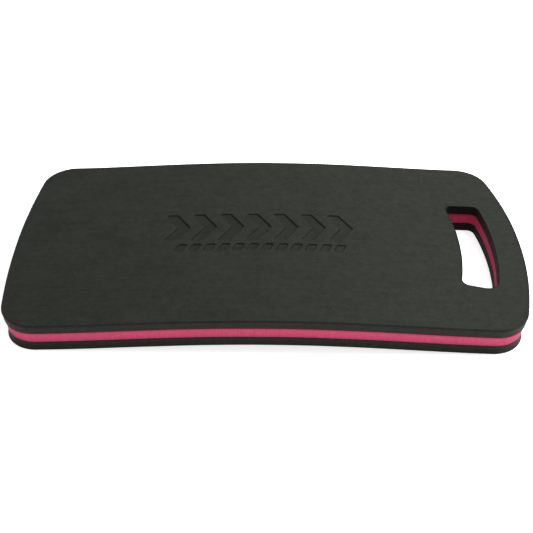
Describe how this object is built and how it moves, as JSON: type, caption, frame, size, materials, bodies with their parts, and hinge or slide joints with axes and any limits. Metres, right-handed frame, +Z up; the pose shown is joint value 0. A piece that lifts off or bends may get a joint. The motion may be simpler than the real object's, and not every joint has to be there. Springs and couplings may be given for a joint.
{
  "type": "foam kneeling pad",
  "caption": "Slightly arched laminated foam kneeling pad with a contrasting core layer and a die-cut hand hole at one end.",
  "frame": {"origin": "on the floor under the middle of the pad", "axes": "+X along the pad towards the hand hole, +Y across the pad, +Z up out of the knee side"},
  "size_m": [0.45, 0.245, 0.035],
  "materials": {
    "black_foam": "matt closed-cell foam skin with a fine grain",
    "pink_foam": "matt die-cut closed-cell foam",
    "dried_adhesive": "thin amber film of dried contact adhesive"
  },
  "bodies": {
    "root": {"top_sheet": "black_foam", "core_sheet": "pink_foam", "bottom_sheet": "black_foam", "upper_bond_film": "dried_adhesive", "lower_bond_film": "dried_adhesive"}
  },
  "joints": []
}
